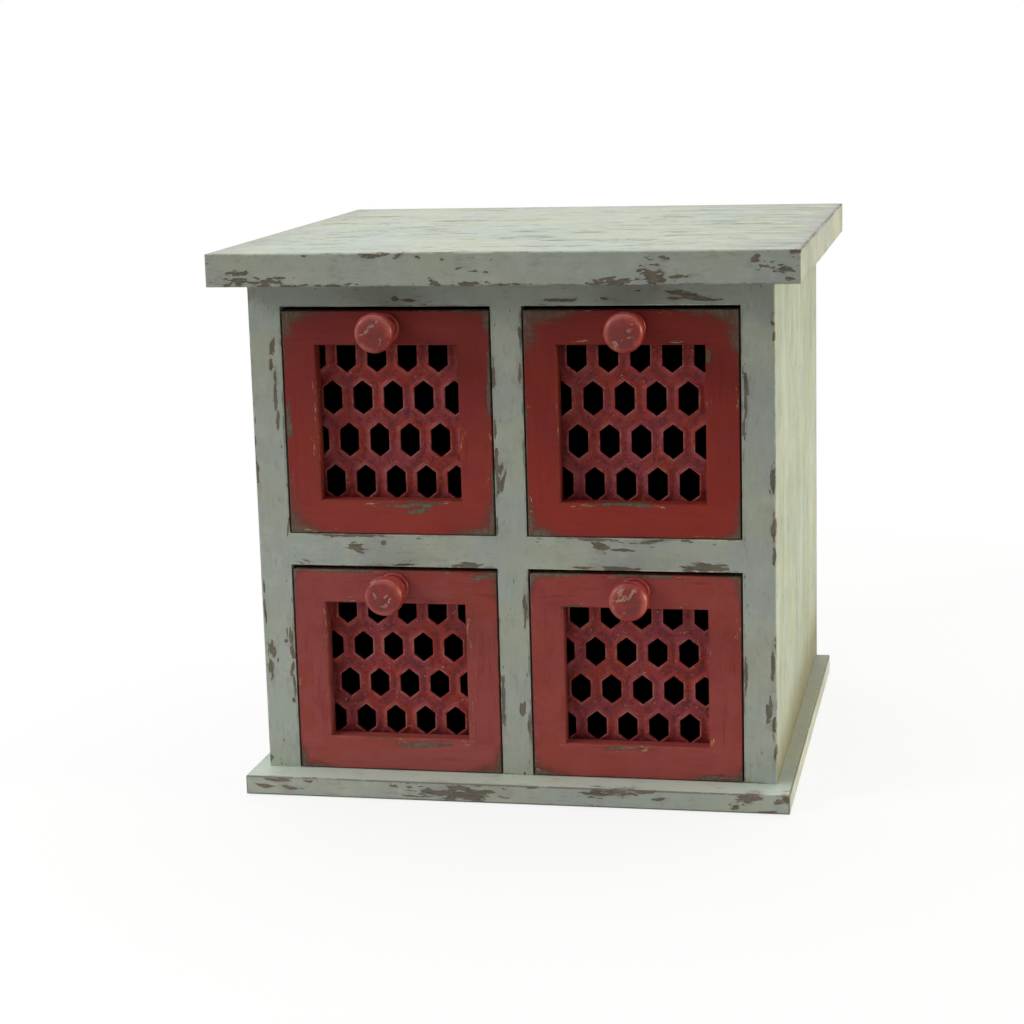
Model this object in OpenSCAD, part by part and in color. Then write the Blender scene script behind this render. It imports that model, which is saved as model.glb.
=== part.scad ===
// Desktop mini drawers: a small wooden chest with four drawers, two over two.
// Each drawer has a framed front, a pressed lattice of tall hexagons behind the
// frame and a turned wooden knob.
//
// Millimetres. +Z is up, the front faces -Y. The origin is on the table, under
// the middle of the case.

/* [Case] */
// Width over the two side panels
case_w = 240; // [200:1:320]
// Depth of the side panels, front to back
case_d = 230; // [170:1:300]
// Thickness of each side panel
side_t = 15; // [11:0.5:20]
// Thickness of the upright between the two columns
divider_t = 14; // [9:0.5:20]
// Thickness of the shelf boards between upper and lower drawers
shelf_t = 15; // [9:0.5:20]
// Thickness of the board over the upper drawers
sub_top_t = 11; // [8:0.5:18]
// Height of the lower openings
lower_h = 98; // [85:1:130]
// Height of the upper openings
upper_h = 105; // [85:1:130]
// Thickness of the hardboard back
back_t = 3; // [2:0.5:6]
// Width of the ledge that the back lies on, along each side panel
back_ledge = 8; // [5:0.5:9]

/* [Top and base boards] */
// Thickness of the top board
top_t = 15; // [12:0.5:22]
// Overhang of the top board past each side panel
top_side = 13; // [4:0.5:25]
// Overhang of the top board past the case front
top_front = 19; // [6:0.5:30]
// Overhang of the top board past the case back
top_rear = 13; // [0:0.5:25]
// Thickness of the base board
base_t = 9; // [6:0.5:15]
// Overhang of the base board past each side panel
base_side = 7; // [2:0.5:20]
// Overhang of the base board past the case front
base_front = 16; // [6:0.5:30]
// Rounding of the boards' sanded edges
board_ease = 0.8; // [0.3:0.1:2]

/* [Drawer fronts] */
// Thickness of the framed front
front_t = 9; // [7:0.5:12]
// Gap between a front and each side of its opening
side_gap = 0.8; // [0.4:0.1:1.5]
// Gap above a front
top_gap = 2; // [0.8:0.1:3]
// Gap below a front
bottom_gap = 0.4; // [0.2:0.1:1]
// Width of the upright members of a front
stile_w = 15; // [11:0.5:20]
// Height of the top member of a front
top_rail_h = 15.5; // [11:0.5:20]
// Height of the bottom member of a front
bottom_rail_h = 15.5; // [13:0.5:22]
// Rounding of a front's outer edges
front_ease = 0.7; // [0.3:0.1:1.5]
// Bevel of the front edge of a window
window_bevel = 0.6; // [0.2:0.1:1.5]

/* [Drawer boxes] */
// Thickness of the sides and back of a box
box_t = 8; // [6:0.5:10]
// Gap between a box and each side of its opening
box_gap = 1.2; // [0.8:0.1:2]
// Height of a front above the top of its box
box_drop = 8; // [2:0.5:20]
// Thickness of a box's bottom
bottom_t = 3; // [2:0.5:4]
// Height of the bottom's groove above the lower edges
groove_up = 4; // [3:0.5:6]
// Depth of the groove
groove_d = 3; // [2:0.5:4]
// Play of the bottom in its groove
groove_play = 0.2; // [0.1:0.05:0.4]
// Gap between a closed drawer and the case back
rear_gap = 1; // [0.5:0.5:5]

/* [Lattice] */
// Thickness of the lattice sheet, rims included
lattice_t = 5.2; // [3.5:0.1:8]
// Height of the raised rims round the holes
rim_h = 0.8; // [0.5:0.1:2]
// Width of a rim
rim_w = 1.8; // [1:0.1:2.7]
// Width of a hole
hole_w = 8.7; // [6:0.1:9]
// Height of the points at a hole's two ends
hole_point = 3.4; // [2:0.1:4.5]
// Distance between neighbouring holes in a row
hole_pitch = 14.4; // [14:0.1:18]
// Rows of holes that a window shows
rows_seen = 3.65; // [3.2:0.05:4]
// Height of the web between the tips of one row and the next row's tips
row_web = 3.8; // [2.5:0.1:6]
// Height of the first row's middle above the window's lower edge, in row pitches
first_row = 0.36; // [0.2:0.01:0.6]
// Solid border that reaches in behind the frame's edge from outside
border_set = 1; // [0.5:0.1:2]
// Play of the sheet between the sides of a box
sheet_play = 0.3; // [0.1:0.1:0.6]
// Sideways shift of the holes in the upper left drawer
shift_upper_left = -6.6; // [-7:0.1:7]
// Sideways shift of the holes in the upper right drawer
shift_upper_right = 2.9; // [-7:0.1:7]
// Sideways shift of the holes in the lower left drawer
shift_lower_left = 3.4; // [-7:0.1:7]
// Sideways shift of the holes in the lower right drawer
shift_lower_right = 1.6; // [-7:0.1:7]

/* [Knobs] */
// Diameter of a knob's head
knob_d = 18; // [14:0.2:24]
// Thickness of the head
knob_head_t = 9; // [7:0.5:12]
// Length of the turned foot and neck behind the head
knob_stem = 13; // [9:0.5:16]
// Diameter of the foot
knob_foot_d = 14.8; // [12:0.2:20]
// Diameter of the neck
knob_neck_d = 10; // [7:0.2:12]
// Rise of the domed face in its middle
knob_dome = 1.4; // [0.5:0.1:3]

/* [Fasteners] */
// Diameter of a knob screw's shank
knob_screw_d = 3.2; // [2.5:0.1:4]
// Depth of a knob screw in its knob
knob_screw_in = 12; // [6:0.5:14]
// Diameter of a knob screw's head
knob_screw_head_d = 6; // [5:0.1:7]
// Height of a knob screw's head
knob_screw_head_h = 2.2; // [1.5:0.1:3]
// Clearance round a knob screw in the front
knob_screw_play = 0.2; // [0.1:0.05:0.4]
// Diameter of a wood screw's shank
wood_screw_d = 3.5; // [2.5:0.1:4.5]
// Diameter of a wood screw's countersunk head
wood_screw_head_d = 7; // [5:0.1:8]
// Depth of the base screws in the side panels
base_screw_in = 20; // [10:0.5:30]
// Depth of the top screws in the top board
top_screw_in = 9; // [5:0.5:10]
// Distance of the wood screws from the front and back of the case
screw_inset = 38; // [25:1:60]
// Diameter of a back pin's shank
pin_d = 1.4; // [1:0.1:2]
// Diameter of a back pin's head
pin_head_d = 3.6; // [2.5:0.1:5]
// Height of a back pin's head
pin_head_h = 0.7; // [0.5:0.1:1]
// Depth of a back pin in the case
pin_in = 9; // [5:0.5:14]
// Distance of the end pins from the top and bottom of the back
pin_inset = 14; // [8:0.5:30]

/* [Hidden] */
$fn = 40;
slack = 1;                                // how far a cutter runs past what it cuts
sage = [0.62, 0.66, 0.58];
brick_red = [0.52, 0.17, 0.15];
coral_red = [0.66, 0.26, 0.23];
dark_stain = [0.11, 0.09, 0.08];
hardboard = [0.42, 0.30, 0.20];
zinc = [0.72, 0.72, 0.70];

// Case
opening_w = (case_w - 2 * side_t - divider_t) / 2;
column_x = (opening_w + divider_t) / 2;
front_y = -case_d / 2;
inner_d = case_d - back_t;                // depth in front of the back
case_h = lower_h + shelf_t + upper_h + sub_top_t;
shelf_z = base_t + lower_h;
upper_z = shelf_z + shelf_t;
sub_top_z = upper_z + upper_h;
top_z = base_t + case_h;
back_w = case_w - 2 * (side_t - back_ledge);

// Drawers: x runs from the middle of the opening, y from the face of the front,
// z from the floor of the opening
front_w = opening_w - 2 * side_gap;
window_w = front_w - 2 * stile_w;
box_w = opening_w - 2 * box_gap;
box_inner_w = box_w - 2 * box_t;
box_end = inner_d - rear_gap;
box_len = box_end - front_t;
floor_z = groove_up + bottom_t;
bottom_w = box_inner_w + 2 * (groove_d - groove_play);
sheet_w = box_inner_w - 2 * sheet_play;
field_w = window_w + 2 * border_set;      // width of the pierced field of the sheet

function front_top(h) = h - top_gap;
function window_top(h) = front_top(h) - top_rail_h;
window_low = bottom_gap + bottom_rail_h;
function window_h(h) = window_top(h) - window_low;
function box_top(h) = front_top(h) - box_drop;
function knob_z(h) = front_top(h) - top_rail_h / 2;
function sheet_top(h) = knob_z(h) - knob_screw_head_d / 2 - knob_screw_play;
function row_pitch(h) = window_h(h) / rows_seen;
function hole_h(h) = row_pitch(h) - row_web;

// Knob
knob_len = knob_stem + knob_head_t;
face_round = 2.2;                         // rounding at the front of the head
back_round = 4;                           // rounding at the back of the head
foot_t = 2.2;
collar_t = 1.8;
groove_t = 0.8;                           // groove between the foot and the collar
foot_step = 1.2;                          // how far the collar is set in from the foot
groove_step = 1.8;                        // how far the groove is set in from the foot
dome_r = (pow(knob_d / 2, 2) + pow(knob_dome, 2)) / (2 * knob_dome);

// Fasteners
drive_w = 0.9;                            // width of a screw's drive slots
drive_share = 0.6;                        // length of the slots in head diameters
drive_depth = 1;
screw_y = case_d / 2 - screw_inset;
base_screw_x = case_w / 2 - side_t / 2;
pin_x = case_w / 2 - side_t + back_ledge / 2;
pin_rows = 4;
pin_low = base_t + pin_inset;
pin_step = (case_h - 2 * pin_inset) / (pin_rows - 1);

// One entry per drawer: name, side of the case, opening height, floor, shift of
// the holes
DRAWERS = [
    ["upper_left", -1, upper_h, upper_z, shift_upper_left],
    ["upper_right", 1, upper_h, upper_z, shift_upper_right],
    ["lower_left", -1, lower_h, base_t, shift_lower_left],
    ["lower_right", 1, lower_h, base_t, shift_lower_right]
];
CASE_PIECES = [
    "base_board", "left_side_panel", "right_side_panel", "divider", "left_shelf",
    "right_shelf", "sub_top", "top_board", "back_panel", "base_screws",
    "top_screws", "back_pins"
];
DRAWER_PIECES = [
    "front_frame", "lattice", "left_side", "right_side", "box_back", "bottom",
    "knob", "knob_screw"
];
NODES = concat(
    CASE_PIECES,
    [for (d = DRAWERS) for (piece = DRAWER_PIECES) str(d[0], "_", piece)]
);
node = "all";

// ---- shared shapes ----

// A flat shape drawn in x and z, pushed back along y
module along_y(len) {
    translate([0, len, 0]) rotate([90, 0, 0]) linear_extrude(len) children();
}

// A flat shape drawn in y and z, pushed along x
module along_x(len) {
    rotate([90, 0, 90]) linear_extrude(len) children();
}

module round_rect(w, h, r) {
    translate([r, 0]) square([w - 2 * r, h]);
    translate([0, r]) square([w, h - 2 * r]);
    for (x = [r, w - r], y = [r, h - r]) translate([x, y]) circle(r);
}

// A board with all its edges sanded round
module eased_board(w, d, h, r) {
    intersection() {
        linear_extrude(h) round_rect(w, d, r);
        along_y(d) round_rect(w, h, r);
        along_x(w) round_rect(d, h, r);
    }
}

// Countersunk wood screw, head at z = 0, point upwards
module wood_screw_body(len) {
    cone = (wood_screw_head_d - wood_screw_d) / 2;
    cylinder(d1 = wood_screw_head_d, d2 = wood_screw_d, h = cone);
    cylinder(d = wood_screw_d, h = len);
}

module drive_cross(head_d) {
    for (turn = [0, 90])
        rotate(turn)
            translate([-head_d * drive_share / 2, -drive_w / 2, -slack])
                cube([head_d * drive_share, drive_w, slack + drive_depth]);
}

module wood_screw(len) {
    difference() {
        wood_screw_body(len);
        drive_cross(wood_screw_head_d);
    }
}

// ---- case ----

module base_screw_places() {
    for (x = [-base_screw_x, 0, base_screw_x], y = [-screw_y, screw_y])
        translate([x, y, 0]) children();
}

module top_screw_places() {
    for (x = [-column_x, column_x], y = [-screw_y, screw_y])
        translate([x, y, sub_top_z]) children();
}

module pin_places() {
    for (x = [-pin_x, 0, pin_x], row = [0:pin_rows - 1])
        translate([x, case_d / 2, pin_low + row * pin_step]) children();
}

base_screw_len = base_t + base_screw_in;
top_screw_len = sub_top_t + top_screw_in;

module back_pin() {
    rotate([90, 0, 0]) cylinder(d = pin_d, h = back_t + pin_in);
    rotate([-90, 0, 0]) cylinder(d = pin_head_d, h = pin_head_h);
}

module base_board() {
    color(sage)
        difference() {
            translate([-case_w / 2 - base_side, front_y - base_front, 0])
                eased_board(case_w + 2 * base_side, case_d + base_front, base_t, board_ease);
            base_screw_places() wood_screw_body(base_screw_len);
        }
}

module top_board() {
    color(sage)
        difference() {
            translate([-case_w / 2 - top_side, front_y - top_front, top_z])
                eased_board(case_w + 2 * top_side, case_d + top_front + top_rear, top_t,
                            board_ease);
            top_screw_places() wood_screw_body(top_screw_len);
        }
}

// Right-hand side panel: front outer edge sanded, ledge for the back cut inside
module side_panel() {
    difference() {
        translate([case_w / 2 - side_t, front_y, base_t])
            linear_extrude(case_h)
                difference() {
                    union() {
                        square([side_t - board_ease, case_d]);
                        translate([0, board_ease]) square([side_t, case_d - board_ease]);
                        translate([side_t - board_ease, board_ease]) circle(board_ease);
                    }
                    translate([-slack, inner_d]) square([back_ledge + slack, back_t + slack]);
                }
        base_screw_places() wood_screw_body(base_screw_len);
        pin_places() back_pin();
    }
}

module right_side_panel() {
    color(sage) side_panel();
}

module left_side_panel() {
    color(sage) mirror([1, 0, 0]) side_panel();
}

module divider() {
    color(sage)
        difference() {
            translate([-divider_t / 2, front_y, base_t])
                cube([divider_t, inner_d, case_h - sub_top_t]);
            base_screw_places() wood_screw_body(base_screw_len);
            pin_places() back_pin();
        }
}

module shelf(side) {
    color(sage)
        translate([side * column_x - opening_w / 2, front_y, shelf_z])
            cube([opening_w, inner_d, shelf_t]);
}

module sub_top() {
    color(sage)
        difference() {
            translate([-case_w / 2 + side_t, front_y, sub_top_z])
                cube([case_w - 2 * side_t, inner_d, sub_top_t]);
            top_screw_places() wood_screw_body(top_screw_len);
        }
}

module back_panel() {
    color(hardboard)
        difference() {
            translate([-back_w / 2, front_y + inner_d, base_t])
                cube([back_w, back_t, case_h]);
            pin_places() back_pin();
        }
}

module base_screws() {
    color(zinc) base_screw_places() wood_screw(base_screw_len);
}

module top_screws() {
    color(zinc) top_screw_places() wood_screw(top_screw_len);
}

module back_pins() {
    color(zinc) pin_places() back_pin();
}

// ---- drawers ----

module drawer_place(d) {
    translate([d[1] * column_x, front_y, d[3]]) children();
}

// Cutter for the bevelled front edge of a window
module window_edge(h) {
    half_w = window_w / 2;
    low = window_low;
    high = window_top(h);
    b = window_bevel;
    intersection() {
        linear_extrude(h)
            polygon([[-half_w - 2 * b, -b], [half_w + 2 * b, -b], [half_w, b], [-half_w, b]]);
        translate([-opening_w / 2, 0, 0])
            along_x(opening_w)
                polygon([[-b, low - 2 * b], [-b, high + 2 * b], [b, high], [b, low]]);
    }
}

// One-piece frame with a square window, and a groove for the box's bottom
module front_frame(h) {
    color(brick_red)
        difference() {
            translate([-front_w / 2, 0, bottom_gap])
                eased_board(front_w, front_t, front_top(h) - bottom_gap, front_ease);
            translate([-window_w / 2, -slack, window_low])
                cube([window_w, front_t + 2 * slack, window_h(h)]);
            window_edge(h);
            translate([-bottom_w / 2 - groove_play, front_t - groove_d, groove_up])
                cube([bottom_w + 2 * groove_play, groove_d + slack, bottom_t + groove_play]);
            translate([0, -slack, knob_z(h)])
                rotate([-90, 0, 0])
                    cylinder(d = knob_screw_d + 2 * knob_screw_play, h = front_t + 2 * slack);
        }
}

// Tall hexagon: straight sides with a point above and below, grown by a margin
module hexagon(h, grow) {
    half_w = hole_w / 2 + grow;
    half_h = hole_h(h) / 2 + grow;
    shoulder = half_h - hole_point;
    polygon([
        [half_w, -shoulder], [half_w, shoulder], [0, half_h],
        [-half_w, shoulder], [-half_w, -shoulder], [0, -half_h]
    ]);
}

// Rows of hexagons, every other row moved by half a pitch
module hexagon_field(h, shift, grow) {
    count = ceil(field_w / hole_pitch / 2) + 1;
    rows = ceil(rows_seen) + 1;
    intersection() {
        translate([-field_w / 2, window_low - border_set])
            square([field_w, window_h(h) + 2 * border_set]);
        for (row = [-1:rows], i = [-count:count])
            translate([
                shift + (i + (row % 2 == 0 ? 0.5 : 0)) * hole_pitch,
                window_low + (first_row + row) * row_pitch(h)
            ])
                hexagon(h, grow);
    }
}

module lattice_outline(h) {
    translate([-sheet_w / 2, floor_z]) square([sheet_w, sheet_top(h) - floor_z]);
}

// Pressed sheet: pierced web, raised rim round each hole, raised border that is
// glued to the back of the frame
module lattice(h, shift) {
    color(brick_red)
        translate([0, front_t, 0]) {
            translate([0, rim_h, 0])
                along_y(lattice_t - rim_h)
                    difference() {
                        lattice_outline(h);
                        hexagon_field(h, shift, 0);
                    }
            along_y(rim_h)
                difference() {
                    union() {
                        hexagon_field(h, shift, rim_w);
                        difference() {
                            lattice_outline(h);
                            translate([-field_w / 2, window_low - border_set])
                                square([field_w, window_h(h) + 2 * border_set]);
                        }
                    }
                    hexagon_field(h, shift, 0);
                }
        }
}

// Left side of a box: rounded top edge, groove on the inner face
module box_side(h) {
    r = board_ease;
    color(dark_stain)
        translate([-box_w / 2, front_t, 0])
            along_y(box_len)
                difference() {
                    union() {
                        square([box_t, box_top(h) - r]);
                        translate([r, 0]) square([box_t - 2 * r, box_top(h)]);
                        for (x = [r, box_t - r])
                            translate([x, box_top(h) - r]) circle(r);
                    }
                    translate([box_t - groove_d, groove_up])
                        square([groove_d + slack, bottom_t + groove_play]);
                }
}

module box_back(h) {
    color(dark_stain)
        translate([-box_inner_w / 2, box_end - box_t, floor_z])
            cube([box_inner_w, box_t, box_top(h) - floor_z]);
}

module box_bottom() {
    color(dark_stain)
        translate([-bottom_w / 2, front_t - groove_d + groove_play, groove_up])
            cube([bottom_w, box_end - front_t + groove_d - groove_play, bottom_t]);
}

// Half outline of a turned ring from y = low, with its rim rounded over
module turned_ring(r, t, low) {
    translate([0, low]) square([r - t / 2, t]);
    translate([r - t / 2, low + t / 2]) circle(t / 2);
}

module knob_profile() {
    foot_r = knob_foot_d / 2;
    head_r = knob_d / 2;
    intersection() {
        union() {
            turned_ring(foot_r, foot_t, 0);
            square([foot_r - groove_step, foot_t + groove_t]);
            turned_ring(foot_r - foot_step, collar_t, foot_t + groove_t);
            square([knob_neck_d / 2, knob_stem + back_round]);
            translate([0, knob_stem])
                square([head_r - back_round, knob_head_t]);
            translate([0, knob_stem + back_round])
                square([head_r, knob_head_t - back_round - face_round]);
            translate([0, knob_stem + back_round])
                square([head_r - face_round, knob_head_t - back_round]);
            translate([head_r - back_round, knob_stem + back_round])
                circle(back_round);
            translate([head_r - face_round, knob_len - face_round])
                circle(face_round);
        }
        translate([0, knob_len - dome_r]) circle(dome_r, $fn = 120);
        square([knob_d, knob_len]);
    }
}

module knob(h) {
    color(coral_red)
        translate([0, 0, knob_z(h)])
            rotate([90, 0, 0])
                difference() {
                    rotate_extrude() knob_profile();
                    translate([0, 0, -slack])
                        cylinder(d = knob_screw_d, h = knob_screw_in + slack);
                }
}

// Round-headed screw from inside the drawer, through the front into the knob
module knob_screw(h) {
    color(zinc)
        translate([0, front_t, knob_z(h)])
            difference() {
                union() {
                    rotate([90, 0, 0]) cylinder(d = knob_screw_d, h = front_t + knob_screw_in);
                    rotate([-90, 0, 0])
                        cylinder(d1 = knob_screw_head_d, d2 = knob_screw_head_d * 0.6,
                                 h = knob_screw_head_h);
                }
                translate([0, knob_screw_head_h, 0])
                    rotate([90, 0, 0]) drive_cross(knob_screw_head_d);
            }
}

// ---- assembly ----

function shown(name) = node == "all" || node == name;

if (shown("base_board")) base_board();
if (shown("left_side_panel")) left_side_panel();
if (shown("right_side_panel")) right_side_panel();
if (shown("divider")) divider();
if (shown("left_shelf")) shelf(-1);
if (shown("right_shelf")) shelf(1);
if (shown("sub_top")) sub_top();
if (shown("top_board")) top_board();
if (shown("back_panel")) back_panel();
if (shown("base_screws")) base_screws();
if (shown("top_screws")) top_screws();
if (shown("back_pins")) back_pins();
for (d = DRAWERS)
    drawer_place(d) {
        if (shown(str(d[0], "_front_frame"))) front_frame(d[2]);
        if (shown(str(d[0], "_lattice"))) lattice(d[2], d[4]);
        if (shown(str(d[0], "_left_side"))) box_side(d[2]);
        if (shown(str(d[0], "_right_side"))) mirror([1, 0, 0]) box_side(d[2]);
        if (shown(str(d[0], "_box_back"))) box_back(d[2]);
        if (shown(str(d[0], "_bottom"))) box_bottom();
        if (shown(str(d[0], "_knob"))) knob(d[2]);
        if (shown(str(d[0], "_knob_screw"))) knob_screw(d[2]);
    }
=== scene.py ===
# Desktop mini drawers: finishes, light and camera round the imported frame.
import math

import bmesh
import bpy
from mathutils import Matrix, Vector


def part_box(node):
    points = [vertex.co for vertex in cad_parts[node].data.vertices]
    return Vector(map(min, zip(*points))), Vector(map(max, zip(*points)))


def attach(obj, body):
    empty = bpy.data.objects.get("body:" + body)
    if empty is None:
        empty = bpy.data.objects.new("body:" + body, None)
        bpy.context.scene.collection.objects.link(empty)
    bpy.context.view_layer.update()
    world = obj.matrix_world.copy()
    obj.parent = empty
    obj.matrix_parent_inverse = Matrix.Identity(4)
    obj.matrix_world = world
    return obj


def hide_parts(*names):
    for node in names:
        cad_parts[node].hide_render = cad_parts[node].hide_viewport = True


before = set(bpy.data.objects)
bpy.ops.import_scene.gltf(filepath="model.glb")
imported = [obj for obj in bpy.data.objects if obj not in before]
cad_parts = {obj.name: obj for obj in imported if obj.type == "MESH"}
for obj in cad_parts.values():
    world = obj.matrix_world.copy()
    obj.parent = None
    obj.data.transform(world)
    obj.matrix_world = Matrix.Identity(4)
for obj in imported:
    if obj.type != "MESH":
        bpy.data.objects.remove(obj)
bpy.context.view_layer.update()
print("stage: frame loaded,", len(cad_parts), "nodes")

mm = 0.001
drawerNames = ["upper_left", "upper_right", "lower_left", "lower_right"]


# Helpers for materials. Sums of sockets find the node tree from the sockets.

def colour(red, green, blue):
    # screen colour 0..255 to the linear colour that a socket takes
    def linear(value):
        value /= 255
        return value / 12.92 if value <= 0.04045 else ((value + 0.055) / 1.055) ** 2.4
    return (linear(red), linear(green), linear(blue), 1.0)


def addNode(tree, kind, inputs=None, **settings):
    node = tree.nodes.new(kind)
    for name, value in settings.items():
        setattr(node, name, value)
    for name, value in (inputs or {}).items():
        if isinstance(value, bpy.types.NodeSocket):
            tree.links.new(value, node.inputs[name])
        else:
            node.inputs[name].default_value = value
    return node


def treeOf(values):
    return next(value.id_data for value in values if isinstance(value, bpy.types.NodeSocket))


def calc(operation, *values):
    inputs = dict(enumerate(values))
    return addNode(treeOf(values), "ShaderNodeMath", inputs, operation=operation).outputs[0]


def times(first, *others):
    for other in others:
        first = calc("MULTIPLY", first, other)
    return first


def timesPlus(value, factor, added):
    return calc("MULTIPLY_ADD", value, factor, added)


def minus(value, taken):
    return calc("SUBTRACT", value, taken)


def larger(first, second):
    return calc("MAXIMUM", first, second)


def smaller(first, second):
    return calc("MINIMUM", first, second)


def absolute(value):
    return calc("ABSOLUTE", value)


def vectorCalc(operation, *values, output=0):
    inputs = dict(enumerate(values))
    node = addNode(treeOf(values), "ShaderNodeVectorMath", inputs, operation=operation)
    return node.outputs[output]


def smooth(value, start, stop):
    # 0 at start, 1 at stop, eased between; stop may be the lower one
    inputs = {"Value": value, "From Min": start, "From Max": stop}
    return addNode(value.id_data, "ShaderNodeMapRange", inputs,
                   interpolation_type="SMOOTHSTEP").outputs[0]


def blend(factor, first, second):
    return addNode(factor.id_data, "ShaderNodeMix", {0: factor, 2: first, 3: second}).outputs[0]


def mixColour(factor, first, second):
    inputs = {0: factor, 6: first, 7: second}
    return addNode(treeOf(inputs.values()), "ShaderNodeMix", inputs, data_type="RGBA").outputs[2]


def tint(tone, mask, amount, second):
    # lays second over tone where mask is 1, with the given strength
    return mixColour(times(mask, amount), tone, second)


def noiseNode(place, cycles, seed, settings):
    # cycles per mm: one number, or one for each of x, y and z
    if isinstance(cycles, float):
        cycles = (cycles, cycles, cycles)
    shift = (seed * 13.7, seed * 7.1, seed * 3.3)
    spot = vectorCalc("MULTIPLY_ADD", place, cycles, shift)
    return addNode(place.id_data, "ShaderNodeTexNoise", dict(settings, Vector=spot, Scale=1.0))


def noise(place, cycles, seed, detail=3.0, roughness=0.55, distortion=0.0):
    settings = {"Detail": detail, "Roughness": roughness, "Distortion": distortion}
    return noiseNode(place, cycles, seed, settings).outputs["Fac"]


def grainNoise(place, grain, fine, share, seed, detail=3.0, roughness=0.55):
    # fine is cycles per mm across the grain, share the part of it that runs along
    cycles = tuple(fine * share if axis == grain else fine for axis in "xyz")
    return noise(place, cycles, seed, detail, roughness)


def warped(place, cycles, amount, seed):
    # the same place pushed about by a soft noise, amount in mm
    push = noiseNode(place, cycles, seed, {"Detail": 2.0}).outputs["Color"]
    push = vectorCalc("SUBTRACT", push, (0.5, 0.5, 0.5))
    return vectorCalc("MULTIPLY_ADD", push, (amount, amount, amount), place)


def split(place):
    return tuple(addNode(place.id_data, "ShaderNodeSeparateXYZ", {0: place}).outputs)


def gapToSides(value, low, high):
    # distance inside a span, from its nearer end
    return smaller(minus(value, low), minus(high, value))


def gapsInBox(place, low, high):
    return [gapToSides(value, lo, hi) for value, lo, hi in zip(split(place), low, high)]


def edgeDistance(place, low, high):
    # on the skin of a box one gap is nil, so the middle one is the distance to an edge
    a, b, c = gapsInBox(place, low, high)
    return larger(smaller(a, b), smaller(larger(a, b), c))


def insideMask(place, low, high):
    # 1 inside a box, falling to 0 just outside it
    a, b, c = [smooth(gap, -0.3, 0.0) for gap in gapsInBox(place, low, high)]
    return times(a, times(b, c))


def spotMask(place, spots, front, depth=7.0):
    # 1 in the middle of each worn spot on the front, 0 at its rim, less outside
    total = -1.0
    for x, z, halfLength, halfWidth, tilt in spots:
        inputs = {"Vector": place, "Location": (x, front, z),
                  "Rotation": (0, math.radians(-tilt), 0), "Scale": (halfLength, depth, halfWidth)}
        shape = addNode(place.id_data, "ShaderNodeMapping", inputs, vector_type="TEXTURE")
        away = vectorCalc("LENGTH", shape.outputs[0], output="Value")
        total = larger(minus(1.0, away), total)
    return total


def emptyTree(owner):
    owner.use_nodes = True
    owner.node_tree.nodes.clear()
    return owner.node_tree


def newMaterial(name):
    # an empty material, and the place of each point of the piece in mm
    material = bpy.data.materials.new(name)
    tree = emptyTree(material)
    spot = addNode(tree, "ShaderNodeTexCoord").outputs["Object"]
    place = addNode(tree, "ShaderNodeVectorMath", {0: spot, "Scale": 1.0 / mm}, operation="SCALE")
    return material, place.outputs[0]


def finishMaterial(material, tone, roughness, height, depth, gloss=0.5, **more):
    # a height of 1 stands for depth, in mm
    tree = material.node_tree
    bump = addNode(tree, "ShaderNodeBump", {"Height": height, "Distance": depth * mm})
    shader = addNode(tree, "ShaderNodeBsdfPrincipled", {
        "Base Color": tone, "Roughness": roughness, "Specular IOR Level": gloss,
        "Normal": bump.outputs[0], **more})
    addNode(tree, "ShaderNodeOutputMaterial", {"Surface": shader.outputs[0]})
    return material


# Helpers for meshes in mm. pieceFrom takes one that is already in metres.

softening = {              # mm
    "width": 0.7,
    "shortest": 8.0,       # edges shorter than this stay as they are
    "leastTurn": 1.4,      # radians between the faces beside a rounded edge
    "segments": 3,
}


def pieceFrom(bm, name, smoothAngle=None):
    mesh = bpy.data.meshes.new(name)
    bm.to_mesh(mesh)
    bm.free()
    piece = bpy.data.objects.new(name, mesh)
    bpy.context.scene.collection.objects.link(piece)
    if smoothAngle:
        mesh.shade_smooth()
        mesh.set_sharp_from_angle(angle=math.radians(smoothAngle))
    return piece


def inMetres(bm):
    bmesh.ops.scale(bm, vec=(mm, mm, mm), verts=bm.verts)
    return bm


def fitPiece(piece, body, node, material):
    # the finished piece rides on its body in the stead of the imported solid
    piece.data.materials.append(material)
    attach(piece, body)
    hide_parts(node)


def everything(bm):
    return bm.verts[:] + bm.edges[:] + bm.faces[:]


def boxOf(name):
    low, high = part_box(name)
    return Vector(low) / mm, Vector(high) / mm


def inBox(point, box, slack=0.05):
    return all(box[0][i] - slack <= point[i] <= box[1][i] + slack for i in range(3))


def touching(first, second, slack=0.05):
    return all(first[0][i] <= second[1][i] + slack and second[0][i] <= first[1][i] + slack
               for i in range(3))


def copyOf(name):
    # the node's own solid as one closed skin with flat faces in one piece
    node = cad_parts[name]
    bm = bmesh.new()
    bm.from_mesh(node.data)
    bmesh.ops.transform(bm, matrix=Matrix.Scale(1 / mm, 4) @ node.matrix_world, verts=bm.verts)
    bmesh.ops.remove_doubles(bm, verts=bm.verts, dist=0.01)
    bmesh.ops.dissolve_limit(bm, angle_limit=math.radians(1), verts=bm.verts, edges=bm.edges)
    return bm


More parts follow.
